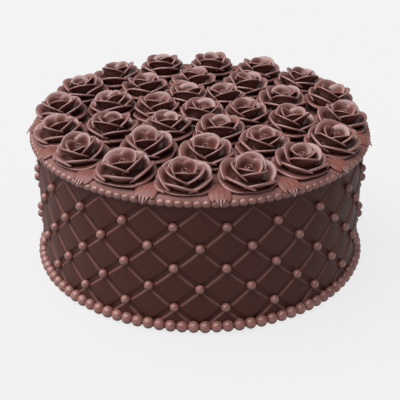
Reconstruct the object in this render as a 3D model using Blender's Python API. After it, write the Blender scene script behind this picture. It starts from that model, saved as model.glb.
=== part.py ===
# Chocolate layer cake with a quilted side, a pearl on every crossing of the quilting,
# a string of beads at the foot and at the top edge, and a top covered with roses and
# leaves. Units are metres, +Z is up, and the front of the cake faces -Y. An angle is
# measured from the front, turning towards +X.

import math
import random

import bmesh
import bpy
from mathutils import Vector

# Body of the cake
WALL_RADIUS = 0.125
WALL_HEIGHT = 0.105

# Quilting: grooves cross on rows of points, each row shifted by half a column
COLUMNS = 22
ROW_STEP = 0.0159
FIRST_ROW_Z = 0.0036
LAST_ROW = 6
GROOVE_DEPTH = 0.0012
GROOVE_HALF_WIDTH = 0.0016
TILE_SWELL = 0.0004

# Pearls on the crossings. The foot is where a pearl meets the wall.
PEARL_RADIUS = 0.0034
PEARL_FOOT_RADIUS = 0.0033
PEARL_STANDS_OUT = 0.0003
PEARL_SIDES = 6
PEARL_RING_TILT = math.radians(50)

# Strings of beads. A string is this share of a bead's thickness between two beads.
BEAD_NECK_SHARE = 0.55
FOOT_BEADS = 98
FOOT_BEAD_RADIUS = 0.0041
FOOT_BEAD_LEAN = 32
EDGE_BEADS = 132
EDGE_BEAD_RADIUS = 0.0028
EDGE_BEAD_STANDS_OUT = 0.00225
EDGE_BEAD_BELOW_TOP = 0.0024
EDGE_BEAD_UNDERCUT = 0.6
EDGE_BEAD_TURNS = (-38, 50)

# Gap left between pieces that touch in the real cake
CLEARANCE = 0.0003

# Roses: circles of them around one in the middle. The inner circle is uneven.
OUTER_ROSES = 16
OUTER_CIRCLE_RADIUS = 0.10725
OUTER_FIRST_ANGLE = -5.3
MIDDLE_ROSES = 10
MIDDLE_CIRCLE_RADIUS = 0.0700
MIDDLE_FIRST_ANGLE = 4.0
INNER_CIRCLE_RADIUS = 0.0350
INNER_ANGLES = (25, 90, 149, 197, 251, 317)
CENTRE_ROSE_OFFSET = 0.002

# Profile of a rose from its foot over the petal rims to the bud: distance from the
# axis, height, how far the petals stand out there, and how far they stand up
ROSE_PROFILE = (
    (0.0120, 0.0000, 0.0000, 0.0000),
    (0.0208, 0.0052, 0.0010, 0.0007),
    (0.0158, 0.0046, 0.0000, 0.0000),
    (0.0176, 0.0108, 0.0007, 0.0010),
    (0.0122, 0.0090, 0.0000, 0.0000),
    (0.0140, 0.0155, 0.0006, 0.0010),
)
BUD_PROFILE = (
    (0.0066, 0.0095),
    (0.0044, 0.0145),
)
BUD_HOLLOW_HEIGHT = 0.0130
PETALS = 5
ROSE_SIZE_VARIATION = 0.03

# Leaves: one in each gap between two outer roses, bent down over the edge beads
LEAF_START_RADIUS = 0.1045
LEAF_THICKNESS = 0.0010
LEAF_FOLD = 0.0008
LEAF_STATIONS = (
    (0.0000, 0.0007, 0.0028),
    (0.0165, 0.0022, 0.0070),
    (0.0262, 0.0006, 0.0044),
)
LEAF_TIP = (0.0276, -0.0020)

SEED = 16


def clear_scene():
    for item in list(bpy.data.objects):
        bpy.data.objects.remove(item, do_unlink=True)


def chocolate(name, colour, roughness):
    material = bpy.data.materials.new(name)
    material.use_nodes = True
    shader = material.node_tree.nodes["Principled BSDF"]
    shader.inputs["Base Color"].default_value = (*colour, 1.0)
    shader.inputs["Roughness"].default_value = roughness
    shader.inputs["Metallic"].default_value = 0.0
    material.diffuse_color = (*colour, 1.0)
    return material


def around(radius, angle, height):
    return Vector((radius * math.sin(angle), -radius * math.cos(angle), height))


def object_from(shape, name, material, smooth_angle):
    bmesh.ops.recalc_face_normals(shape, faces=shape.faces)
    mesh = bpy.data.meshes.new(name)
    shape.to_mesh(mesh)
    shape.free()
    mesh.materials.append(material)
    mesh.shade_smooth()
    mesh.set_sharp_from_angle(angle=math.radians(smooth_angle))
    return bpy.data.objects.new(name, mesh)


# Body: the quilted wall with its pearls, between the two strings of beads

def row_height(row):
    return FIRST_ROW_Z + row * ROW_STEP


def stitch(shape, first, second):
    # Triangles between two closed rings of (angle, vertex), whatever their counts
    first = sorted(first, key=lambda entry: entry[0])
    second = sorted(second, key=lambda entry: entry[0])
    here, there = 0, 0
    while here < len(first) or there < len(second):
        one = first[here % len(first)][1]
        other = second[there % len(second)][1]
        next_here = first[(here + 1) % len(first)]
        next_there = second[(there + 1) % len(second)]
        turned_here = next_here[0] + 2 * math.pi * ((here + 1) // len(first))
        turned_there = next_there[0] + 2 * math.pi * ((there + 1) // len(second))
        if there == len(second) or (here < len(first) and turned_here <= turned_there):
            shape.faces.new((one, next_here[1], other))
            here += 1
        else:
            shape.faces.new((one, next_there[1], other))
            there += 1


class Quilting:
    # Wall surface laid out flat: across is the arc length, up is the height

    def __init__(self, shape):
        self.shape = shape
        self.steps = 2 * COLUMNS
        self.step_width = 2 * math.pi * WALL_RADIUS / self.steps
        self.slant = math.atan2(ROW_STEP, self.step_width)
        self.crossings = {}
        self.pearl_rings = {}

    def vertex(self, across, up, radius):
        return self.shape.verts.new(around(radius, across / WALL_RADIUS, up))

    def place(self, step, row):
        return step * self.step_width, row_height(row)

    def groove_vertex(self, step, row, toward_across, toward_up):
        # Groove vertex next to a crossing: on the pearl's edge, or the crossing itself
        key = (step % self.steps, row)
        if 0 < row < LAST_ROW:
            ring = self.pearl_rings.setdefault(key, {})
            heading = math.atan2(toward_up * math.sin(self.slant), toward_across * math.cos(self.slant))
            if heading not in ring:
                across, up = self.place(step, row)
                ring[heading] = self.vertex(across + PEARL_FOOT_RADIUS * math.cos(heading),
                                            up + PEARL_FOOT_RADIUS * math.sin(heading),
                                            WALL_RADIUS - GROOVE_DEPTH)
            return ring[heading]
        if key not in self.crossings:
            across, up = self.place(step, row)
            self.crossings[key] = self.vertex(across, up, WALL_RADIUS - GROOVE_DEPTH)
        return self.crossings[key]

    def tile_corner(self, step, row, inward):
        # One vertex at a plain corner, or two where a pearl cuts the corner off
        across, up = self.place(step, row)
        if not 0 < row < LAST_ROW:
            beside = GROOVE_HALF_WIDTH / math.sin(self.slant)
            above = GROOVE_HALF_WIDTH / math.cos(self.slant)
            return [self.vertex(across + inward[0] * beside, up + inward[1] * above, WALL_RADIUS)]
        ring = self.pearl_rings.setdefault((step % self.steps, row), {})
        opening = self.slant if inward[0] else math.pi / 2 - self.slant
        spread = opening - math.asin(GROOVE_HALF_WIDTH / PEARL_FOOT_RADIUS)
        corner = []
        for side in (1, -1):
            heading = math.atan2(inward[1], inward[0]) + side * spread
            made = self.vertex(across + PEARL_FOOT_RADIUS * math.cos(heading),
                               up + PEARL_FOOT_RADIUS * math.sin(heading), WALL_RADIUS)
            ring[math.atan2(math.sin(heading), math.cos(heading))] = made
            corner.append(made)
        return corner

    def tile(self, step, row):
        # A raised tile between four grooves, or half of one in the first and last row
        sides = [(1, 0), (0, 1), (-1, 0), (0, -1)]
        if row == 0:
            sides = sides[:3]
        if row == LAST_ROW:
            sides = [(-1, 0), (0, -1), (1, 0)]
        centre = self.vertex(*self.place(step, row), WALL_RADIUS + TILE_SWELL)
        corners = []
        for across, up in sides:
            corners.append(self.tile_corner(step + across, row + up, (-across, -up)))
        outline = [vertex for corner in corners for vertex in corner]
        full = len(sides) == 4
        for index in range(len(outline) if full else len(outline) - 1):
            self.shape.faces.new((centre, outline[index], outline[(index + 1) % len(outline)]))
        for index in range(len(sides) if full else 2):
            after = (index + 1) % len(sides)
            (across, up), (next_across, next_up) = sides[index], sides[after]
            toward = (next_across - across, next_up - up)
            start = self.groove_vertex(step + across, row + up, *toward)
            end = self.groove_vertex(step + next_across, row + next_up, -toward[0], -toward[1])
            self.shape.faces.new((corners[index][-1], start, end, corners[after][0]))

    def pearl(self, step, row, ring):
        across, up = self.place(step, row)
        upper = []
        for index in range(PEARL_SIDES):
            heading = 2 * math.pi * (index + 0.5) / PEARL_SIDES - math.pi
            reach = PEARL_RADIUS * math.sin(PEARL_RING_TILT)
            height = PEARL_STANDS_OUT + PEARL_RADIUS * math.cos(PEARL_RING_TILT)
            upper.append((heading, self.vertex(across + reach * math.cos(heading),
                                               up + reach * math.sin(heading),
                                               WALL_RADIUS + height)))
        stitch(self.shape, list(ring.items()), upper)
        top = self.vertex(across, up, WALL_RADIUS + PEARL_STANDS_OUT + PEARL_RADIUS)
        for index in range(PEARL_SIDES):
            after = (index + 1) % PEARL_SIDES
            self.shape.faces.new((upper[index][1], upper[after][1], top))

    def build(self):
        for row in range(LAST_ROW + 1):
            for step in range((row + 1) % 2, self.steps, 2):
                self.tile(step, row)
        for (step, row), ring in self.pearl_rings.items():
            self.pearl(step, row, ring)


def border(shape, low):
    # Open border vertices of the wall at its foot or its upper edge, with their angles
    middle = WALL_HEIGHT / 2
    found = {}
    for edge in shape.edges:
        if edge.is_boundary and (edge.verts[0].co.z < middle) == low:
            for vertex in edge.verts:
                found[vertex] = math.atan2(vertex.co.x, -vertex.co.y)
    return [(angle, vertex) for vertex, angle in found.items()]


def bead_string(shape, count, bead_radius, section):
    # Rows of (angle, vertex) along a string of beads. section gives the radius and
    # height of each point of a cut across the string where it is this thick.
    rows = None
    for station in range(2 * count):
        thickness = bead_radius * (BEAD_NECK_SHARE if station % 2 else 1)
        angle = math.pi * station / count
        angle = math.atan2(math.sin(angle), math.cos(angle))
        made = [(angle, shape.verts.new(around(out, angle, up))) for out, up in section(thickness)]
        rows = rows or [[] for _ in made]
        for row, entry in zip(rows, made):
            row.append(entry)
    for lower, upper in zip(rows, rows[1:]):
        for index in range(2 * count):
            after = (index + 1) % (2 * count)
            shape.faces.new((lower[index][1], lower[after][1], upper[after][1], upper[index][1]))
    return rows


def foot_section(thickness):
    lean = math.radians(FOOT_BEAD_LEAN)
    return [
        (WALL_RADIUS, FOOT_BEAD_RADIUS - thickness),
        (WALL_RADIUS + thickness * math.cos(lean), FOOT_BEAD_RADIUS - thickness * math.sin(lean)),
        (WALL_RADIUS + thickness * math.cos(lean), FOOT_BEAD_RADIUS + thickness * math.sin(lean)),
        (WALL_RADIUS, FOOT_BEAD_RADIUS + thickness),
    ]


def edge_section(thickness):
    low, high = (math.radians(turn) for turn in EDGE_BEAD_TURNS)
    axis = WALL_RADIUS + EDGE_BEAD_STANDS_OUT
    height = WALL_HEIGHT - EDGE_BEAD_BELOW_TOP
    return [
        (WALL_RADIUS, height - EDGE_BEAD_UNDERCUT * thickness),
        (axis + thickness * math.cos(low), height + thickness * math.sin(low)),
        (axis + thickness * math.cos(high), height + thickness * math.sin(high)),
        (WALL_RADIUS + CLEARANCE, WALL_HEIGHT),
    ]


def cake_body(material):
    shape = bmesh.new()
    Quilting(shape).build()
    bmesh.ops.triangulate(shape, faces=shape.faces)
    above_beads = Vector((0, 0, 2 * FOOT_BEAD_RADIUS + CLEARANCE))
    bmesh.ops.bisect_plane(shape, geom=shape.verts[:] + shape.edges[:] + shape.faces[:],
                           plane_co=above_beads, plane_no=(0, 0, 1), clear_inner=True)
    wall_foot = border(shape, True)
    wall_rim = border(shape, False)

    foot = bead_string(shape, FOOT_BEADS, FOOT_BEAD_RADIUS, foot_section)
    edge = bead_string(shape, EDGE_BEADS, EDGE_BEAD_RADIUS, edge_section)
    stitch(shape, foot[-1], wall_foot)
    stitch(shape, wall_rim, edge[0])
    bottom = [vertex for _, vertex in foot[0]]
    for index in range(0, len(bottom), 2):
        after = (index + 2) % len(bottom)
        shape.faces.new((bottom[index], bottom[after], bottom[index + 1]))
    bmesh.ops.triangulate(shape, faces=[face for face in shape.faces if len(face.verts) > 3])
    shape.faces.new(bottom[::2])
    shape.faces.new([vertex for _, vertex in edge[-1]])
    return object_from(shape, "cake", material, 30)


# Roses

def rose_places():
    places = {}
    for number in range(OUTER_ROSES):
        angle = math.radians(OUTER_FIRST_ANGLE + 360 * number / OUTER_ROSES)
        places[f"rose_outer_{number + 1:02d}"] = around(OUTER_CIRCLE_RADIUS, angle, 0)
    for number in range(MIDDLE_ROSES):
        angle = math.radians(MIDDLE_FIRST_ANGLE + 360 * number / MIDDLE_ROSES)
        places[f"rose_middle_{number + 1:02d}"] = around(MIDDLE_CIRCLE_RADIUS, angle, 0)
    for number, degrees in enumerate(INNER_ANGLES):
        place = around(INNER_CIRCLE_RADIUS, math.radians(degrees), 0)
        places[f"rose_inner_{number + 1:02d}"] = place
    places["rose_centre"] = Vector((CENTRE_ROSE_OFFSET, 0, 0))
    return places


def free_reach(place, places, heading):
    # How far a rose may spread along a heading before it meets its neighbours' share
    reach = 2 * ROSE_PROFILE[1][0]
    for other in places:
        offset = other - place
        along = math.cos(heading - math.atan2(offset.y, offset.x))
        if offset.length > 0 and along > 0.01:
            reach = min(reach, (offset.length - CLEARANCE) / 2 / along)
    return reach


def rose(name, place, places, material, dice):
    size = 1 + dice.uniform(-ROSE_SIZE_VARIATION, ROSE_SIZE_VARIATION)
    turn = dice.uniform(0, 2 * math.pi)
    points = 2 * PETALS
    shape = bmesh.new()

    def ring_point(out, height, angle):
        reach = free_reach(place, places, angle + turn)
        out = min(out * size, reach)
        return shape.verts.new((out * math.cos(angle), out * math.sin(angle), height * size))

    rings = []
    for layer, (out, height, stand_out, stand_up) in enumerate(ROSE_PROFILE):
        ring = []
        for index in range(points):
            # Petals of one layer stand over the gaps of the layer below
            side = 1 if (index + layer // 2) % 2 else -1
            angle = 2 * math.pi * index / points
            ring.append(ring_point(out + side * stand_out, height + side * stand_up, angle))
        rings.append(ring)
    for lower, upper in zip(rings, rings[1:]):
        for index in range(points):
            after = (index + 1) % points
            shape.faces.new((lower[index], lower[after], upper[after], upper[index]))

    bud = []
    for out, height in BUD_PROFILE:
        angles = [2 * math.pi * index / PETALS for index in range(PETALS)]
        bud.append([ring_point(out, height, angle) for angle in angles])
    hollow = shape.verts.new((0, 0, BUD_HOLLOW_HEIGHT * size))
    petal_rim = rings[-1]
    for index in range(PETALS):
        after = (index + 1) % PETALS
        between = petal_rim[2 * index + 1]
        shape.faces.new((petal_rim[2 * index], between, bud[0][index]))
        shape.faces.new((between, petal_rim[2 * after], bud[0][after]))
        shape.faces.new((between, bud[0][after], bud[0][index]))
        shape.faces.new((bud[0][index], bud[0][after], bud[1][after], bud[1][index]))
        shape.faces.new((bud[1][index], bud[1][after], hollow))
    bmesh.ops.triangulate(shape, faces=shape.faces)
    shape.faces.new(rings[0])

    item = object_from(shape, name, material, 50)
    item.location = place
    item.rotation_euler.z = turn
    return item


# Leaves

def leaf(material):
    # Outward is -Y, and the middle vein lies lower than the two edges
    shape = bmesh.new()
    faces = []
    for lift in (0, LEAF_THICKNESS):
        rows = []
        for outward, height, half_width in LEAF_STATIONS:
            rows.append([
                shape.verts.new((-half_width, -outward, height + LEAF_FOLD + lift)),
                shape.verts.new((0, -outward, height + lift)),
                shape.verts.new((half_width, -outward, height + LEAF_FOLD + lift)),
            ])
        tip_outward, tip_height = LEAF_TIP
        tip = shape.verts.new((0, -tip_outward - lift, tip_height + lift))
        faces.append((rows, tip))
        for near, far in zip(rows, rows[1:]):
            for side in (0, 1):
                outside = 2 * side
                shape.faces.new((near[1], far[1], far[outside]))
                shape.faces.new((near[1], far[outside], near[outside]))
        for side in (0, 2):
            shape.faces.new((rows[-1][1], rows[-1][side], tip))
    lower, upper = faces
    for side in (0, 2):
        edge_below = [row[side] for row in lower[0]] + [lower[1]]
        edge_above = [row[side] for row in upper[0]] + [upper[1]]
        for index in range(len(edge_below) - 1):
            shape.faces.new((edge_below[index], edge_below[index + 1],
                             edge_above[index + 1], edge_above[index]))
        shape.faces.new((lower[0][0][1], lower[0][0][side], upper[0][0][side], upper[0][0][1]))
    bmesh.ops.triangulate(shape, faces=[face for face in shape.faces if len(face.verts) > 3])
    return object_from(shape, "leaf", material, 40)


def main():
    clear_scene()
    scene = bpy.context.scene
    dice = random.Random(SEED)
    coating = chocolate("coating", (0.070, 0.026, 0.020), 0.42)
    petals = chocolate("petals", (0.130, 0.055, 0.042), 0.45)
    leaves = chocolate("leaves", (0.120, 0.050, 0.038), 0.45)

    scene.collection.objects.link(cake_body(coating))

    toppings = bpy.data.objects.new("toppings", None)
    toppings.location = (0, 0, WALL_HEIGHT + CLEARANCE)
    scene.collection.objects.link(toppings)

    places = rose_places()
    for name, place in places.items():
        item = rose(name, place, places.values(), petals, dice)
        item.parent = toppings
        scene.collection.objects.link(item)

    shared_leaf = leaf(leaves)
    leaf_mesh = shared_leaf.data
    bpy.data.objects.remove(shared_leaf)
    for number in range(OUTER_ROSES):
        angle = math.radians(OUTER_FIRST_ANGLE + 360 * (number + 0.5) / OUTER_ROSES)
        item = bpy.data.objects.new(f"leaf_{number + 1:02d}", leaf_mesh)
        item.location = around(LEAF_START_RADIUS, angle, 0)
        item.rotation_euler.z = angle
        item.parent = toppings
        scene.collection.objects.link(item)


main()
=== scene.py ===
import math
import random

import bmesh
import bpy
from mathutils import Matrix, Vector, noise


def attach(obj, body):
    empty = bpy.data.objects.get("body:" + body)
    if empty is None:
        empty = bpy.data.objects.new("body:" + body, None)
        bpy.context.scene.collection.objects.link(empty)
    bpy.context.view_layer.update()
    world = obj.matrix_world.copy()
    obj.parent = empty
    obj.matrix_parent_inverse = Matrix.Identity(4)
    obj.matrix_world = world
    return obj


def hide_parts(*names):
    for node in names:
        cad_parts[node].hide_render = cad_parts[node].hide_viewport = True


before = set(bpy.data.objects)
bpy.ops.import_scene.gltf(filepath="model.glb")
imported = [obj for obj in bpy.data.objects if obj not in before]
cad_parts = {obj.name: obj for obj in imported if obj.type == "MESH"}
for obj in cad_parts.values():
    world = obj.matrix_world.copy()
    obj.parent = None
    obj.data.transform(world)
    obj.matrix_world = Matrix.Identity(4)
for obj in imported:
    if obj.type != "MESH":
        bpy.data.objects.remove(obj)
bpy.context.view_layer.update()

# Chocolate layer cake: quilted side, pearls, two strings of beads, roses and leaves.
# Sizes are in millimetres and become metres when a mesh is finished. Angles are in
# degrees from the front of the cake, which faces -Y, turning towards +X.
mm = 0.001
scene = bpy.context.scene
scene.view_settings.view_transform = "Standard"
print("frame loaded:", len(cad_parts), "solids")


def around(radius, turn, height):
    return Vector((radius * math.sin(turn), -radius * math.cos(turn), height))


def smoothStep(low, high, value):
    share = min(1.0, max(0.0, (value - low) / (high - low)))
    return share * share * (3 - 2 * share)


def ripple(point, size, seed=0.0):
    # Smooth unevenness between about -1 and 1, with bumps of the given size
    return noise.noise(Vector(point) / size + Vector((seed, 2 * seed, 3 * seed)))


def newShape(*painted):
    # painted names the shares from 0 to 1 that the piece keeps at its vertices for the material:
    # a painted highlight on rims, edges and lit tops, and painted shade in folds and on undersides
    shape = bmesh.new()
    for attribute in painted:
        shape.verts.layers.float.new(attribute)
    return shape


def finishPiece(name, shape, material, nodes, rounded=0):
    bmesh.ops.recalc_face_normals(shape, faces=shape.faces)
    bmesh.ops.scale(shape, vec=(mm, mm, mm), verts=shape.verts)
    mesh = bpy.data.meshes.new(name)
    shape.to_mesh(mesh)
    shape.free()
    mesh.materials.append(material)
    mesh.shade_smooth()
    piece = bpy.data.objects.new(name, mesh)
    scene.collection.objects.link(piece)
    if rounded:
        softener = piece.modifiers.new("rounded edges", "SUBSURF")
        softener.levels = rounded
        softener.render_levels = rounded
    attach(piece, "root")
    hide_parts(*nodes)


# Chocolate: one recipe for all the finishes

recipe = {
    "patchEdges": (0.35, 0.65),
    "patchDetail": 4,
    "dustSize": 0.25,  # as a share of the mottle size, as is the size of the shine's patches
    "dustEdges": (0.52, 0.80),
    "dustMost": 0.5,
    "dustDetail": 6,
    "shineSize": 0.5,
    "shineEdges": (0.3, 0.7),
    "shineDetail": 5,
    "foldRoughness": 0.8,
    "grainDetail": 5,
    "grainStrength": 0.8,
}
# shade and colour are a look's darker and lighter tones, mixed at random; after the bloom come the colours
# of its painted highlight, where it has one, and of its painted shade
coatingLook = {
    "colour": (0.055, 0.0166, 0.0125),
    "shade": (0.049, 0.0145, 0.0108),
    "bloom": (0.063, 0.0202, 0.0160),
    "paintedLight": (0.250, 0.120, 0.108),
    "paintedShade": (0.030, 0.010, 0.008),
    "roughness": (0.52, 0.64),
    "specular": 0.15,
    "mottleSize": 22,
    "grainSize": 0.9,
    "grainHeight": 0.05,
}
pearlLook = {
    "colour": (0.235, 0.098, 0.082),
    "shade": (0.180, 0.070, 0.057),
    "bloom": (0.290, 0.136, 0.118),
    "paintedShade": (0.045, 0.014, 0.011),
    "roughness": (0.30, 0.42),
    "specular": 0.62,
    "mottleSize": 9,
    "grainSize": 0.7,
    "grainHeight": 0.04,
}
roseLook = {
    "colour": (0.112, 0.036, 0.028),
    "shade": (0.088, 0.027, 0.021),
    "bloom": (0.150, 0.057, 0.047),
    "paintedLight": (0.250, 0.122, 0.110),
    "paintedShade": (0.112, 0.037, 0.027),
    "roughness": (0.30, 0.42),
    "specular": 0.55,
    "mottleSize": 14,
    "grainSize": 0.8,
    "grainHeight": 0.05,
}
leafLook = {
    "colour": (0.158, 0.056, 0.046),
    "shade": (0.130, 0.044, 0.035),
    "bloom": (0.190, 0.076, 0.064),
    "paintedLight": (0.430, 0.265, 0.245),
    "paintedShade": (0.060, 0.020, 0.016),
    "roughness": (0.34, 0.46),
    "specular": 0.22,
    "mottleSize": 10,
    "grainSize": 0.8,
    "grainHeight": 0.06,
}


def mixColours(tree, share, first, second):
    mixer = tree.nodes.new("ShaderNodeMix")
    mixer.data_type = "RGBA"
    # Its colour sockets are inputs 6 and 7 and output 2
    tree.links.new(share, mixer.inputs["Factor"])
    for socket, colour in zip((mixer.inputs[6], mixer.inputs[7]), (first, second)):
        if isinstance(colour, bpy.types.NodeSocket):
            tree.links.new(colour, socket)
        else:
            socket.default_value = (*colour, 1)
    return mixer.outputs[2]


def spread(tree, value, fromLow, fromHigh, toLow, toHigh):
    ranger = tree.nodes.new("ShaderNodeMapRange")
    tree.links.new(value, ranger.inputs["Value"])
    limits = (fromLow, fromHigh, toLow, toHigh)
    for socketName, limit in zip(("From Min", "From Max", "To Min", "To Max"), limits):
        ranger.inputs[socketName].default_value = limit
    return ranger.outputs["Result"]


def cloud(tree, place, size, detail):
    grain = tree.nodes.new("ShaderNodeTexNoise")
    grain.inputs["Scale"].default_value = 1 / (size * mm)
    grain.inputs["Detail"].default_value = detail
    tree.links.new(place, grain.inputs["Vector"])
    return grain.outputs["Fac"]


def chocolate(name, look, painted=("paintedShade",)):
    # painted is as for newShape
    material = bpy.data.materials.new(name)
    material.use_nodes = True
    tree = material.node_tree
    shader = tree.nodes["Principled BSDF"]
    place = tree.nodes.new("ShaderNodeTexCoord").outputs["Object"]

    # Darker and lighter patches, with a dusting of paler fat bloom
    mottle = look["mottleSize"]
    patches = cloud(tree, place, mottle, recipe["patchDetail"])
    patches = spread(tree, patches, *recipe["patchEdges"], 0, 1)
    colour = mixColours(tree, patches, look["shade"], look["colour"])
    dust = cloud(tree, place, mottle * recipe["dustSize"], recipe["dustDetail"])
    dust = spread(tree, dust, *recipe["dustEdges"], 0, recipe["dustMost"])
    colour = mixColours(tree, dust, colour, look["bloom"])
    shares = {}
    # Painted highlight and painted shade, mixed in by the shares kept at the vertices
    for attribute in painted:
        reader = tree.nodes.new("ShaderNodeAttribute")
        reader.attribute_name = attribute
        shares[attribute] = reader.outputs["Fac"]
        colour = mixColours(tree, shares[attribute], colour, look[attribute])
    tree.links.new(colour, shader.inputs["Base Color"])

    # Satin on top, and dull in the folds
    shine = cloud(tree, place, mottle * recipe["shineSize"], recipe["shineDetail"])
    shine = spread(tree, shine, *recipe["shineEdges"], *look["roughness"])
    duller = tree.nodes.new("ShaderNodeMath")
    duller.operation = "MAXIMUM"
    tree.links.new(shine, duller.inputs[0])
    tree.links.new(spread(tree, shares["paintedShade"], 0, 1, 0, recipe["foldRoughness"]), duller.inputs[1])
    tree.links.new(duller.outputs[0], shader.inputs["Roughness"])
    bump = tree.nodes.new("ShaderNodeBump")
    bump.inputs["Distance"].default_value = look["grainHeight"] * mm
    bump.inputs["Strength"].default_value = recipe["grainStrength"]
    tree.links.new(cloud(tree, place, look["grainSize"], recipe["grainDetail"]), bump.inputs["Height"])
    tree.links.new(bump.outputs["Normal"], shader.inputs["Normal"])
    shader.inputs["Specular IOR Level"].default_value = look["specular"]
    return material


# The cake's body: a quilted wall, a soft upper edge and a nearly flat top

body = {
    "wallRadius": 125.0,
    "wallHeight": 105.0,
    "columns": 22,
    "rowStep": 15.9,
    "firstRowHeight": 3.6,
    "lastRow": 6,
    "grooveDepth": 1.25,
    # Rings of vertices in a tile, by their distance from the middle of the groove
    "grooveRings": (0.0, 0.8, 1.40, 1.55, 2.2, 2.75, 2.95, 3.6, 5.0, 8.0),
    "grooveFloor": 1.5,
    "grooveEdge": 2.9,
    # Painted highlight on the chamfers of each tile's upper half, which face up
    "paintedLightEdge": 0.38,
    "swell": 0.35,
    "swellReach": 10,
    "edgePoints": 10,
    "unevenness": 0.12,
    "rippleSize": 14,
    "cutLow": 1.0,
    "cutHigh": 100.6,
    "baseInset": 1.2,
    "basePoints": 176,
    # Upper edge as (radius, height, points around), then the top as (radius, points around)
    "rim": ((126.2, 101.2, 528), (127.3, 102.3, 396), (127.6, 103.5, 352), (126.9, 104.7, 352),
            (125.3, 105.6, 264), (123.0, 105.9, 264), (120.5, 105.6, 264)),
    "top": ((117, 220), (111, 176), (100, 132), (80, 110), (55, 88), (30, 44), (10, 22)),
    "topUnevenness": 0.25,
    "topRippleSize": 25,
    # Painted light on the upper edge and the top, as from above: strong on the edge, weaker on the top
    # between the roses, fading in up the shoulder between these heights
    "paintedLightTop": 0.25,
    "paintedLightRim": 0.55,
    "paintedLightRadii": (98, 114),
    "paintedLightHeights": (100, 103),
}
columnTurn = 2 * math.pi / body["columns"]
halfColumn = columnTurn * body["wallRadius"] / 2


def rowHeight(row):
    return body["firstRowHeight"] + row * body["rowStep"]


def stitch(shape, first, second):
    # Triangles between two closed rings of (turn, vertex), whatever their counts
    first = sorted(first, key=lambda entry: entry[0])
    second = sorted(second, key=lambda entry: entry[0])
    here = there = 0
    while here < len(first) or there < len(second):
        one = first[here % len(first)][1]
        other = second[there % len(second)][1]
        nextHere = first[(here + 1) % len(first)]
        nextThere = second[(there + 1) % len(second)]
        turnedHere = nextHere[0] + 2 * math.pi * ((here + 1) // len(first))
        turnedThere = nextThere[0] + 2 * math.pi * ((there + 1) // len(second))
        if there == len(second) or (here < len(first) and turnedHere <= turnedThere):
            shape.faces.new((one, nextHere[1], other))
            here += 1
        else:
            shape.faces.new((one, nextThere[1], other))
            there += 1


def turnOf(vertex):
    return math.atan2(vertex.co.x, -vertex.co.y)


def addWallPoint(shape, across, up, inset, upper=False):
    # inset is the distance from the nearest groove's middle; upper is a tile's upper half, whose chamfers
    # face up and get a painted highlight
    rise = (inset - body["grooveFloor"]) / (body["grooveEdge"] - body["grooveFloor"])
    carve = body["grooveDepth"] * (1 - min(1, max(0, rise)))
    swell = body["swell"] * smoothStep(0, body["swellReach"], inset)
    uneven = body["unevenness"] * ripple((across, up, 0), body["rippleSize"])
    outward = body["wallRadius"] - carve + swell + uneven
    vertex = shape.verts.new(around(outward, across / body["wallRadius"], up))
    vertex[shape.verts.layers.float["paintedLight"]] = body["paintedLightEdge"] if upper and 0 < rise < 1 else 0.0
    return vertex


def addTile(shape, shared, step, row):
    centre = (step * halfColumn, rowHeight(row))
    reach = halfColumn * body["rowStep"] / math.hypot(halfColumn, body["rowStep"])
    corners = ((halfColumn, 0), (0, body["rowStep"]), (-halfColumn, 0), (0, -body["rowStep"]))
    points = body["edgePoints"]
    rings = []
    for inset in body["grooveRings"]:
        scale = 1 - inset / reach
        ring = []
        for index in range(4 * points):
            side, part = divmod(index, points)
            (startX, startY), (endX, endY) = corners[side], corners[(side + 1) % 4]
            part = part / points
            across = centre[0] + scale * (startX + (endX - startX) * part)
            up = centre[1] + scale * (startY + (endY - startY) * part)
            if inset == 0:
                # Tiles share the vertices in the middle of a groove
                turn = round(math.degrees(across / body["wallRadius"]) % 360, 3) % 360
                key = (turn, round(up, 3))
                if key not in shared:
                    shared[key] = addWallPoint(shape, across, up, 0)
                ring.append(shared[key])
            else:
                ring.append(addWallPoint(shape, across, up, inset, up > centre[1]))
        rings.append(ring)
    for outer, inner in zip(rings, rings[1:]):
        for index in range(4 * points):
            after = (index + 1) % (4 * points)
            shape.faces.new((outer[index], outer[after], inner[after], inner[index]))
    middle = addWallPoint(shape, *centre, reach)
    for index in range(4 * points):
        after = (index + 1) % (4 * points)
        shape.faces.new((rings[-1][index], rings[-1][after], middle))


def openEdge(shape, low):
    found = {}
    for edge in shape.edges:
        if edge.is_boundary and (edge.verts[0].co.z < body["wallHeight"] / 2) == low:
            for vertex in edge.verts:
                found[vertex] = turnOf(vertex)
    return [(turn, vertex) for vertex, turn in found.items()]


def addRing(shape, radius, height, points, uneven=0.0, paintedLight=0.0):
    paintedLightLayer = shape.verts.layers.float["paintedLight"]
    ring = []
    for index in range(points):
        turn = 2 * math.pi * (index + 0.5) / points - math.pi
        place = around(radius, turn, height)
        place.z += uneven * ripple(place, body["topRippleSize"], 1.0)
        vertex = shape.verts.new(place)
        vertex[paintedLightLayer] = paintedLight
        ring.append((turn, vertex))
    return ring


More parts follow.
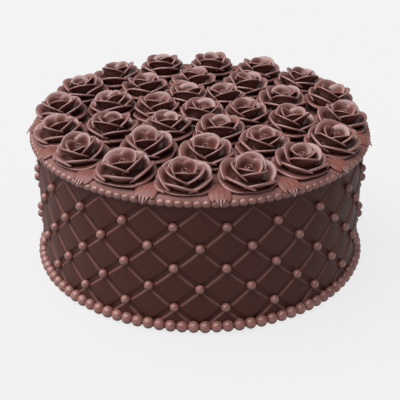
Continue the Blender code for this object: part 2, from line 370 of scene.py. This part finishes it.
def makeBody(material):
    shape = newShape("paintedLight", "paintedShade")
    shared = {}
    for row in range(-1, body["lastRow"] + 2):
        for step in range((row + 1) % 2, 2 * body["columns"], 2):
            addTile(shape, shared, step, row)
    for height, up in ((body["cutLow"], 1), (body["cutHigh"], -1)):
        everything = shape.verts[:] + shape.edges[:] + shape.faces[:]
        bmesh.ops.bisect_plane(shape, geom=everything, plane_co=(0, 0, height),
                               plane_no=(0, 0, up), clear_inner=True)
    foot = openEdge(shape, True)
    ring = openEdge(shape, False)

    # Upper edge and top, ring by ring, with painted light that makes the edge paler than the middle and the
    # shoulder paler towards the top
    low, high = body["paintedLightHeights"]
    profile = list(body["rim"]) + [(radius, body["wallHeight"], points) for radius, points in body["top"]]
    for radius, height, points in profile:
        uneven = body["topUnevenness"] if height == body["wallHeight"] else 0.0
        rimShare = smoothStep(*body["paintedLightRadii"], radius)
        paintedLight = body["paintedLightTop"] + (body["paintedLightRim"] - body["paintedLightTop"]) * rimShare
        upper = addRing(shape, radius, height, points, uneven, paintedLight * min(1, (height - low) / (high - low)))
        stitch(shape, ring, upper)
        ring = upper
    shape.faces.new([vertex for turn, vertex in ring])
    base = addRing(shape, body["wallRadius"] - body["baseInset"], 0, body["basePoints"])
    stitch(shape, foot, base)
    shape.faces.new([vertex for turn, vertex in base])
    finishPiece("quiltedBody", shape, material, ["cake"])


# Pearls and beads

pearls = {
    "radius": 3.3,
    "standOut": 0.3,
    "segments": (18, 12),
    "sizeVariation": 0.03,
    "wander": 0.12,
    "squash": (1.0, 1.0, 1.0),  # along the wall, outward and upward
    "shade": 0.0,  # painted shade over all of the ball
    "seed": 5,
}
footBeads = {
    "count": 98,
    "phase": 0.45,  # in steps from bead to bead
    "radius": 4.3,
    "circle": 126.0,
    "height": 4.45,
    "segments": (20, 12),
    "sizeVariation": 0.02,
    "wander": 0.06,
    "squash": (1.0, 1.0, 1.0),
    "shade": 0.0,
    "seed": 6,
}
edgeBeads = {
    "count": 132,
    "phase": -0.28,
    "radius": 2.95,
    "circle": 126.4,
    "height": 102.0,
    "segments": (16, 10),
    "sizeVariation": 0.02,
    "wander": 0.06,
    "squash": (1.24, 1.00, 0.92),
    "shade": 0.24,
    "seed": 7,
}
undersideShade = {"top": 0.35, "bottom": -0.60, "share": 0.86}  # painted shade on each ball's lower half; heights in radii


def addBall(shape, look, turn, radius, height, dice):
    size = look["radius"] * (1 + dice.uniform(-1, 1) * look["sizeVariation"])
    wander = [dice.uniform(-1, 1) * look["wander"] for axis in range(3)]
    place = around(radius + wander[0], turn + wander[1] / radius, height + wander[2])
    stretch = Matrix.Diagonal([size * share for share in look["squash"]])
    spin = Matrix.Rotation(turn, 3, "Z") @ stretch
    paintedShadeLayer = shape.verts.layers.float["paintedShade"]

    def addPoint(point):
        vertex = shape.verts.new(place + spin @ point)
        # Painted shade: the ball's own share all over, growing to the underside's share on its lower half
        low = 1 - smoothStep(undersideShade["bottom"], undersideShade["top"], point.z)
        vertex[paintedShadeLayer] = look["shade"] + (undersideShade["share"] - look["shade"]) * low
        return vertex

    across, down = look["segments"]
    poles = [addPoint(Vector((0, 0, end))) for end in (1, -1)]
    rings = []
    for row in range(1, down):
        slope = math.pi * row / down
        ring = [around(math.sin(slope), 2 * math.pi * k / across, math.cos(slope)) for k in range(across)]
        rings.append([addPoint(point) for point in ring])
    for k in range(across):
        after = (k + 1) % across
        shape.faces.new((poles[0], rings[0][k], rings[0][after]))
        shape.faces.new((poles[1], rings[-1][after], rings[-1][k]))
        for upper, lower in zip(rings, rings[1:]):
            shape.faces.new((upper[k], lower[k], lower[after], upper[after]))


def pearlSpots():
    radius = body["wallRadius"] + pearls["standOut"]
    return [(step * columnTurn / 2, radius, rowHeight(row)) for row in range(1, body["lastRow"])
            for step in range(row % 2, 2 * body["columns"], 2)]


def beadSpots(look):
    return [(2 * math.pi * (number + look["phase"]) / look["count"], look["circle"], look["height"])
            for number in range(look["count"])]


def makeBalls(name, look, spots, material):
    shape = newShape("paintedShade")
    dice = random.Random(look["seed"])
    for turn, radius, height in spots:
        addBall(shape, look, turn, radius, height, dice)
    finishPiece(name, shape, material, ["cake"])


# Roses: a small rolled bud in a cup of petals, with wider and lower rings around it. A petal
# is a sheet from its foot over a belly to its rim, each given as (distance from axis, height),
# and the solid heart that the petals stand in is given the same way. A grid is the number of
# faces across and up a petal, and an overhang is how far from the cake's axis a rose may reach.

roses = {
    "seed": 100,
    "seat": 105.3,
    "sunk": 0.9,
    "lean": 7.0,
    "leanHeight": 5,  # a rose leans from none at its foot to all of it up here
    "wobble": 3.0,
    "sizeVariation": 0.03,
    "clearance": 0.15,  # to the line halfway to a neighbour
    "widestRoom": 60.0,
    "freeRoom": 0.88,  # share of the room used before petals are drawn in
    "lowest": 0.6,  # petals stay this far above the seat
    "overhang": 129.6,
    "rings": (
        {"petals": 3, "foot": (3.0, 7.0), "belly": (7.2, 8.0), "rim": (6.8, 17.4), "halfWidth": 72,
         "drop": 0.32, "roundness": 2.2, "curl": 2.8, "overlap": 0.8, "thickness": 1.1,
         "grid": (8, 6), "turn": 30},
        {"petals": 3, "foot": (5.0, 5.0), "belly": (10.0, 6.0), "rim": (10.6, 17.2), "halfWidth": 74,
         "drop": 0.38, "roundness": 2.2, "curl": 3.0, "overlap": 0.9, "thickness": 1.4,
         "grid": (9, 6), "turn": 90},
        {"petals": 5, "foot": (8.0, 2.6), "belly": (14.8, 3.2), "rim": (15.4, 11.6), "halfWidth": 50,
         "drop": 0.30, "roundness": 2.2, "curl": 3.2, "overlap": 0.9, "thickness": 1.7,
         "grid": (8, 7), "turn": 36},
        {"petals": 6, "foot": (11.0, 1.8), "belly": (17.6, 4.6), "rim": (21.0, 3.6), "halfWidth": 38,
         "drop": 0.24, "roundness": 2.3, "curl": 0.6, "overlap": 0.7, "thickness": 2.1,
         "grid": (6, 5), "turn": 18, "overhang": 124.6},
    ),
    # The bud carries a painted highlight at its top and painted shade at its foot
    "bud": {"innerRadius": 0.9, "outerRadius": 2.9, "turns": 1.3, "topHeight": 13.7, "sink": 0.5,
            "footHeight": 5.0, "points": 22, "rows": 4, "thickness": 0.8, "flare": 0.10,
            "paintedLightPart": (0.8, 1.0), "paintedLight": 0.2, "paintedShade": 0.9},
    "heart": ((13.0, 0.0), (12.5, 1.6), (7.0, 4.0), (2.6, 8.0)),
    "heartPoints": 16,
}
petals = {
    "heightVariation": 0.06,
    "widthVariation": 0.06,
    "fullnessVariation": 0.04,
    "wander": 8,
    "curlRange": (0.7, 1.3),  # as shares of the ring's curl
    "lopsided": 0.08,
    "crowdedRows": 1.6,  # above 1 gathers rows near the rim
    "crowdedColumns": 0.9,  # below 1 gathers columns near the sides
    "flareFrom": 0.78,  # share of the way up, as are the parts for the painted highlight and painted shade
    "flarePower": 1.2,
    "curlDrop": 0.30,
    "waves": 4,
    "waveDepth": 0.40,
    "footWidth": 0.60,
    # Painted highlight on the rim and the side edges; painted shade towards the foot and on the outer face
    "paintedLightTip": (0.82, 0.95),
    "paintedLightSides": (0.90, 1.0),
    "paintedLight": 0.56,
    "paintedShadePart": (0.1, 0.70),
    "paintedShade": 0.8,
    "paintedUndersideShade": 0.95,
}
roseCircles = {
    "outer": {"count": 16, "radius": 107.25, "first": -5.3},
    "middle": {"count": 10, "radius": 70.0, "first": 4.0},
    "inner": {"angles": (25, 90, 149, 197, 251, 317), "radius": 35.0},
    "centreOffset": 2.0,
    # How far each rose is turned about its own axis; the others are turned at random
    "turned": {"outer_01": 0, "outer_02": -20, "outer_03": 60, "outer_04": 20, "outer_05": -20,
               "outer_13": 5, "outer_14": 20, "outer_15": 22, "outer_16": 8,
               "middle_01": -10, "middle_02": 20, "middle_03": 4, "middle_09": 37, "middle_10": 0,
               "inner_01": 50, "inner_06": 16},
}


def rosePlaces():
    places = {}
    for circle in ("outer", "middle"):
        look = roseCircles[circle]
        for number in range(look["count"]):
            turn = math.radians(look["first"] + 360 * number / look["count"])
            places[f"rose_{circle}_{number + 1:02d}"] = around(look["radius"], turn, roses["seat"])
    inner = roseCircles["inner"]
    for number, angle in enumerate(inner["angles"]):
        place = around(inner["radius"], math.radians(angle), roses["seat"])
        places[f"rose_inner_{number + 1:02d}"] = place
    places["rose_centre"] = Vector((roseCircles["centreOffset"], 0, roses["seat"]))
    return places


def roomAround(place, places, heading):
    # Distance from a rose's axis to the line halfway to its nearest neighbour that way
    room = roses["widestRoom"]
    for other in places:
        offset = other - place
        along = math.cos(heading - math.atan2(offset.y, offset.x))
        if offset.length > 0 and along > 0.01:  # only neighbours on that side
            room = min(room, (offset.length / 2 - roses["clearance"]) / along)
    return room


def roomToEdge(place, heading, radius):
    # Distance from a rose's axis to a circle around the cake's axis
    along = place.x * math.cos(heading) + place.y * math.sin(heading)
    return math.sqrt(along * along + radius * radius - place.x ** 2 - place.y ** 2) - along


def curveThrough(foot, belly, rim, part):
    rest = 1 - part
    return [rest * rest * a + 2 * rest * part * b + part * part * c for a, b, c in zip(foot, belly, rim)]


def addSheet(shape, points, thickness, paintedLight, paintedShade, paintedUndersideShade=0.0):
    # Gives a grid of middle points its thickness and closes it all round; every point carries its painted
    # highlight and painted shade, but the outer face trades the highlight for the underside's painted shade
    paintedLightLayer = shape.verts.layers.float["paintedLight"]
    paintedShadeLayer = shape.verts.layers.float["paintedShade"]
    rows, columns = len(points), len(points[0])
    sides = [[], []]
    for i in range(rows):
        for side in (0, 1):
            sides[side].append([])
        for j in range(columns):
            along = points[min(i + 1, rows - 1)][j] - points[max(i - 1, 0)][j]
            across = points[i][min(j + 1, columns - 1)] - points[i][max(j - 1, 0)]
            normal = along.cross(across).normalized()
            onEdge = i in (0, rows - 1) or j in (0, columns - 1)
            for side, sign in ((0, 0.5), (1, -0.5)):
                vertex = shape.verts.new(points[i][j] + normal * sign * thickness)
                outside = side == 1 and not onEdge
                vertex[paintedLightLayer] = 0.0 if outside else paintedLight[i][j]
                vertex[paintedShadeLayer] = max(paintedShade[i][j], paintedUndersideShade if outside else 0.0)
                sides[side][i].append(vertex)
    for i in range(rows - 1):
        for j in range(columns - 1):
            for side in sides:
                shape.faces.new((side[i][j], side[i][j + 1], side[i + 1][j + 1], side[i + 1][j]))
    border = [(0, j) for j in range(columns)] + [(i, columns - 1) for i in range(1, rows)]
    border += [(rows - 1, j) for j in range(columns - 2, -1, -1)] + [(i, 0) for i in range(rows - 2, 0, -1)]
    for (i, j), (k, l) in zip(border, border[1:] + border[:1]):
        shape.faces.new((sides[0][i][j], sides[0][k][l], sides[1][k][l], sides[1][i][j]))


def petalPoints(ring, heading, dice, fit):
    # fit puts a point of the petal on the cake, within the rose's room
    taller = 1 + dice.uniform(-1, 1) * petals["heightVariation"]
    wider = 1 + dice.uniform(-1, 1) * petals["widthVariation"]
    fuller = 1 + dice.uniform(-1, 1) * petals["fullnessVariation"]
    wave = dice.uniform(0, 2 * math.pi)
    curl = ring["curl"] * dice.uniform(*petals["curlRange"])
    lopsided = dice.uniform(-petals["lopsided"], petals["lopsided"])
    columns, rows = ring["grid"]
    overhang = ring.get("overhang", roses["overhang"])
    points, paintedLight, paintedShade = [], [], []
    for i in range(rows + 1):
        part = 1 - (1 - i / rows) ** petals["crowdedRows"]
        flare = max(0, (part - petals["flareFrom"]) / (1 - petals["flareFrom"])) ** petals["flarePower"]
        width = math.radians(ring["halfWidth"] * wider)
        width *= petals["footWidth"] + (1 - petals["footWidth"]) * part
        points.append([])
        paintedLight.append([])
        paintedShade.append([])
        for j in range(columns + 1):
            side = 2 * j / columns - 1
            side = math.copysign(abs(side) ** petals["crowdedColumns"], side)
            reached = part * (1 - ring["drop"] * abs(side) ** ring["roundness"] + lopsided * side)
            out, height = curveThrough(ring["foot"], ring["belly"], ring["rim"], reached)
            out = out * fuller + ring["overlap"] * side + curl * flare
            out += petals["waveDepth"] * math.sin(petals["waves"] * side + wave) * part
            height = height * taller - petals["curlDrop"] * curl * flare
            points[i].append(fit(out, heading + width * side, height, overhang))
            # Painted highlight along the rim and the sides, painted shade towards the foot
            edge = smoothStep(*petals["paintedLightSides"], abs(side)) * part
            edge = max(edge, smoothStep(*petals["paintedLightTip"], part))
            paintedLight[i].append(petals["paintedLight"] * edge)
            paintedShade[i].append(petals["paintedShade"] * (1 - smoothStep(*petals["paintedShadePart"], part)))
    return points, paintedLight, paintedShade


def budPoints(dice, fit):
    bud = roses["bud"]
    start = dice.uniform(0, 2 * math.pi)
    points, paintedLight, paintedShade = [], [], []
    for i in range(bud["rows"] + 1):
        part = i / bud["rows"]
        points.append([])
        paintedLight.append([])
        paintedShade.append([])
        for j in range(bud["points"] + 1):
            wound = j / bud["points"]
            out = bud["innerRadius"] + (bud["outerRadius"] - bud["innerRadius"]) * wound
            top = bud["topHeight"] - bud["sink"] * wound
            height = bud["footHeight"] + (top - bud["footHeight"]) * part
            turn = start + 2 * math.pi * bud["turns"] * wound
            out *= 1 + bud["flare"] * part
            points[i].append(fit(out, turn, height, roses["overhang"]))
            # Painted highlight at the top, painted shade towards the foot
            paintedLight[i].append(bud["paintedLight"] * smoothStep(*bud["paintedLightPart"], part))
            paintedShade[i].append(bud["paintedShade"] * (1 - part))
    return points, paintedLight, paintedShade


def makeRose(node, place, places, material, seed):
    dice = random.Random(seed)
    size = 1 + dice.uniform(-1, 1) * roses["sizeVariation"]
    spin = dice.uniform(0, 2 * math.pi)
    turned = roseCircles["turned"].get(node.removeprefix("rose_"))
    if turned is not None:
        spin = math.radians(turned)
    fromCentre = Vector((place.x, place.y, 0))
    lean = roses["lean"] * fromCentre.length / roseCircles["outer"]["radius"]
    tilt = Matrix.Rotation(math.radians(dice.uniform(-1, 1) * roses["wobble"]), 3, "X")
    tilt @= Matrix.Rotation(math.radians(dice.uniform(-1, 1) * roses["wobble"]), 3, "Y")
    if fromCentre.length > 1:
        axis = Vector((0, 0, 1)).cross(fromCentre).normalized()
        tilt = Matrix.Rotation(math.radians(lean), 3, axis) @ tilt

    rooms = [roomAround(place, places, math.radians(angle)) for angle in range(360)]

    def fit(out, turn, height, overhang):
        # Leans a point with its rose, and draws it in where a neighbour or the edge is near
        local = Vector((size * out * math.cos(turn), size * out * math.sin(turn), size * height))
        lift = min(1.0, height / roses["leanHeight"])
        local = local.lerp(tilt @ local, lift)
        heading = math.atan2(local.y, local.x)
        room = min(rooms[int(math.degrees(heading)) % 360], roomToEdge(place, heading, overhang))
        reach = math.hypot(local.x, local.y)
        free = roses["freeRoom"] * room
        if reach > free:
            squeezed = free + (room - free) * (1 - math.exp(-(reach - free) / (room - free)))
            local.x *= squeezed / reach
            local.y *= squeezed / reach
        local.z = max(local.z, roses["lowest"])
        return place + local

    shape = newShape("paintedLight", "paintedShade")
    points, paintedLight, paintedShade = budPoints(dice, fit)
    addSheet(shape, points, roses["bud"]["thickness"], paintedLight, paintedShade)
    for ring in roses["rings"]:
        for number in range(ring["petals"]):
            heading = spin + math.radians(ring["turn"] + 360 * number / ring["petals"])
            heading += math.radians(dice.uniform(-petals["wander"], petals["wander"]))
            points, paintedLight, paintedShade = petalPoints(ring, heading, dice, fit)
            addSheet(shape, points, ring["thickness"], paintedLight, paintedShade, petals["paintedUndersideShade"])

    # A solid heart under the petals, set a little into the top
    count = roses["heartPoints"]
    turns = [2 * math.pi * k / count for k in range(count)]
    loops = []
    for out, height in roses["heart"]:
        loops.append([shape.verts.new(fit(out, turn, height, roses["overhang"])) for turn in turns])
    for lower, upper in zip(loops, loops[1:]):
        for k in range(count):
            after = (k + 1) % count
            shape.faces.new((lower[k], lower[after], upper[after], upper[k]))
    for vertex in loops[0]:
        vertex.co.z = place.z - roses["sunk"]
    shape.faces.new(loops[0])
    shape.faces.new(loops[-1])
    # The heart is painted in full shade
    paintedShadeLayer = shape.verts.layers.float["paintedShade"]
    for loop in loops:
        for vertex in loop:
            vertex[paintedShadeLayer] = 1.0
    pieceName = "chocolate" + node.title().replace("_", "")
    finishPiece(pieceName, shape, material, [node], rounded=1)


# Leaves: smooth fans with a few long grooves and a toothed front, laid over the edge beads

leaves = {
    "count": 16,
    "seed": 300,
    # Curve along the middle, as (distance from the cake's axis, height)
    "path": ((104.5, 104.6), (117.0, 109.4), (129.2, 109.8), (132.4, 100.0)),
    "halfWidth": 7.8,
    "stemWidth": 0.45,  # share of the full width
    "fullWidthAt": 0.7,
    "thickness": 0.85,
    "crown": 0.9,
    "droop": 1.0,
    "droopPart": (0.3, 0.7),
    "twist": 0.36,
    "shift": 0.04,
    "grooves": (-0.45, 0.0, 0.45),
    "grooveWidth": 0.10,
    "grooveDepth": 0.18,
    "grooveStart": 0.4,
    # Painted shade in the grooves
    "groovePaintedShade": 0.35,
    "groovePaintedShadePart": (0.1, 0.5),
    # How far the front comes along the path, between the teeth and at each as (side, reach)
    "notch": 0.70,
    "teeth": ((-0.84, 0.80), (-0.42, 0.90), (0.0, 1.0), (0.42, 0.90), (0.84, 0.80)),
    "toothWidth": 0.20,
    "gather": 0.66,  # how much narrower the front is
    "gatherPart": (0.60, 1.0),
    "curl": 1.6,
    "curlFrom": 0.72,
    # Painted highlight on the front and its teeth
    "paintedLight": 0.75,
    "paintedLightPart": (0.70, 0.86),
    "grid": (24, 10),
}


def leafPath(part):
    rest = 1 - part
    weights = (rest ** 3, 3 * rest * rest * part, 3 * rest * part * part, part ** 3)
    return [sum(weight * point[axis] for weight, point in zip(weights, leaves["path"])) for axis in (0, 1)]


def toothReach(side):
    # A point at each tooth and a notch on both sides of it
    reach = leaves["notch"]
    for place, length in leaves["teeth"]:
        closeness = max(0, 1 - abs(side - place) / leaves["toothWidth"])
        reach = max(reach, leaves["notch"] + (length - leaves["notch"]) * closeness)
    return reach


def makeLeaf(number, material):
    dice = random.Random(leaves["seed"] + number)
    turn = math.radians(roseCircles["outer"]["first"] + 360 * (number + 0.5) / leaves["count"])
    outward = around(1, turn, 0)
    sideways = Vector((math.cos(turn), math.sin(turn), 0))
    shift = dice.uniform(-leaves["shift"], leaves["shift"])
    twist = dice.uniform(-leaves["twist"], leaves["twist"])
    columns, rows = leaves["grid"]
    points, paintedLight, paintedShade = [], [], []
    for i in range(rows + 1):
        part = i / rows
        points.append([])
        paintedLight.append([])
        paintedShade.append([])
        for j in range(columns + 1):
            side = 2 * j / columns - 1
            carve = sum(math.exp(-((side - place - shift) / leaves["grooveWidth"]) ** 2)
                        for place in leaves["grooves"])
            reached = part * (1 + (toothReach(side - shift) - 1) * part ** 2)
            out, height = leafPath(reached)
            widening = math.sin(math.pi / 2 * min(1, part / leaves["fullWidthAt"]))
            width = leaves["halfWidth"] * (leaves["stemWidth"] + (1 - leaves["stemWidth"]) * widening)
            width *= 1 - leaves["gather"] * smoothStep(*leaves["gatherPart"], reached)
            height -= leaves["grooveDepth"] * carve * smoothStep(0, leaves["grooveStart"], part)
            height += leaves["crown"] * (1 - side * side) * (1 - part)
            height += twist * side * part
            height -= leaves["droop"] * abs(side) ** 3 * smoothStep(*leaves["droopPart"], part)
            curled = max(0, reached - leaves["curlFrom"]) / (1 - leaves["curlFrom"])
            height += leaves["curl"] * abs(side) * curled
            points[i].append(outward * out + sideways * (width * side) + Vector((0, 0, height)))
            # Painted highlight towards the teeth, painted shade in the grooves
            paintedLight[i].append(leaves["paintedLight"] * smoothStep(*leaves["paintedLightPart"], reached))
            paint = smoothStep(*leaves["groovePaintedShadePart"], part)
            paintedShade[i].append(leaves["groovePaintedShade"] * min(1, carve) * paint)
    shape = newShape("paintedLight", "paintedShade")
    addSheet(shape, points, leaves["thickness"], paintedLight, paintedShade)
    name = f"chocolateLeaf{number + 1:02d}"
    finishPiece(name, shape, material, [f"leaf_{number + 1:02d}"], rounded=1)


# Studio, in metres: pale floor, one broad soft light from above, and a dim surround

studio = {
    "floorSize": 12.0,
    "floorDrop": 0.0002,
    "floorColour": (0.05, 0.05, 0.05),
    "floorGlow": 0.78,
    "floorRoughness": 0.9,
    "floorSpecular": 0.1,
    "surround": (0.83, 0.82, 0.83),
    "surroundStrength": 0.36,
    "overhead": {"from": (-0.40, 0.0, 0.92), "angle": 75, "power": 6.1},
}
view = {
    "sensorWidth": 36,
    "lens": 81.13,
    "distance": 0.723,
    "elevation": 28.09,
    "aim": (0, 0, 0.0384),
    "shiftY": -0.003,
}


def makeStudio():
    shape = bmesh.new()
    bmesh.ops.create_grid(shape, x_segments=1, y_segments=1, size=studio["floorSize"] / 2)
    mesh = bpy.data.meshes.new("floor")
    shape.to_mesh(mesh)
    shape.free()
    floor = bpy.data.objects.new("floor", mesh)
    floor.location.z = -studio["floorDrop"]
    scene.collection.objects.link(floor)
    paint = bpy.data.materials.new("floor paint")
    paint.use_nodes = True
    shader = paint.node_tree.nodes["Principled BSDF"]
    shader.inputs["Base Color"].default_value = (*studio["floorColour"], 1)
    shader.inputs["Emission Color"].default_value = (1, 1, 1, 1)
    shader.inputs["Emission Strength"].default_value = studio["floorGlow"]
    shader.inputs["Roughness"].default_value = studio["floorRoughness"]
    shader.inputs["Specular IOR Level"].default_value = studio["floorSpecular"]
    mesh.materials.append(paint)

    surround = bpy.data.worlds.new("surround")
    surround.use_nodes = True
    background = surround.node_tree.nodes["Background"]
    background.inputs["Color"].default_value = (*studio["surround"], 1)
    background.inputs["Strength"].default_value = studio["surroundStrength"]
    scene.world = surround

    # A sun lights the floor evenly, and this wide its shadows are soft
    lamp = bpy.data.lights.new("overhead", "SUN")
    lamp.angle = math.radians(studio["overhead"]["angle"])
    lamp.energy = studio["overhead"]["power"]
    holder = bpy.data.objects.new("overhead", lamp)
    holder.location = studio["overhead"]["from"]
    holder.rotation_euler = (-holder.location).to_track_quat("-Z", "Y").to_euler()
    scene.collection.objects.link(holder)


def makeCamera():
    camera = bpy.data.objects.new("camera", bpy.data.cameras.new("camera"))
    camera.data.lens = view["lens"]
    camera.data.sensor_width = view["sensorWidth"]
    camera.data.shift_y = view["shiftY"]
    elevation = math.radians(view["elevation"])
    away = Vector((0, -math.cos(elevation), math.sin(elevation))) * view["distance"]
    camera.location = Vector(view["aim"]) + away
    camera.rotation_euler = (-away).to_track_quat("-Z", "Y").to_euler()
    scene.collection.objects.link(camera)
    scene.camera = camera


makeCamera()
makeStudio()
print("camera and studio set")

coating = chocolate("coating", coatingLook, ("paintedShade", "paintedLight"))
pearlChocolate = chocolate("pearl chocolate", pearlLook)
makeBody(coating)
makeBalls("wallPearls", pearls, pearlSpots(), pearlChocolate)
makeBalls("footBeads", footBeads, beadSpots(footBeads), pearlChocolate)
makeBalls("edgeBeads", edgeBeads, beadSpots(edgeBeads), pearlChocolate)
print("body, pearls and beads made")

roseChocolate = chocolate("rose chocolate", roseLook, ("paintedShade", "paintedLight"))
places = rosePlaces()
for number, (node, place) in enumerate(places.items()):
    makeRose(node, place, places.values(), roseChocolate, roses["seed"] + number)
print("roses made:", len(places))

leafChocolate = chocolate("leaf chocolate", leafLook, ("paintedShade", "paintedLight"))
for number in range(leaves["count"]):
    makeLeaf(number, leafChocolate)
print("leaves made:", leaves["count"])
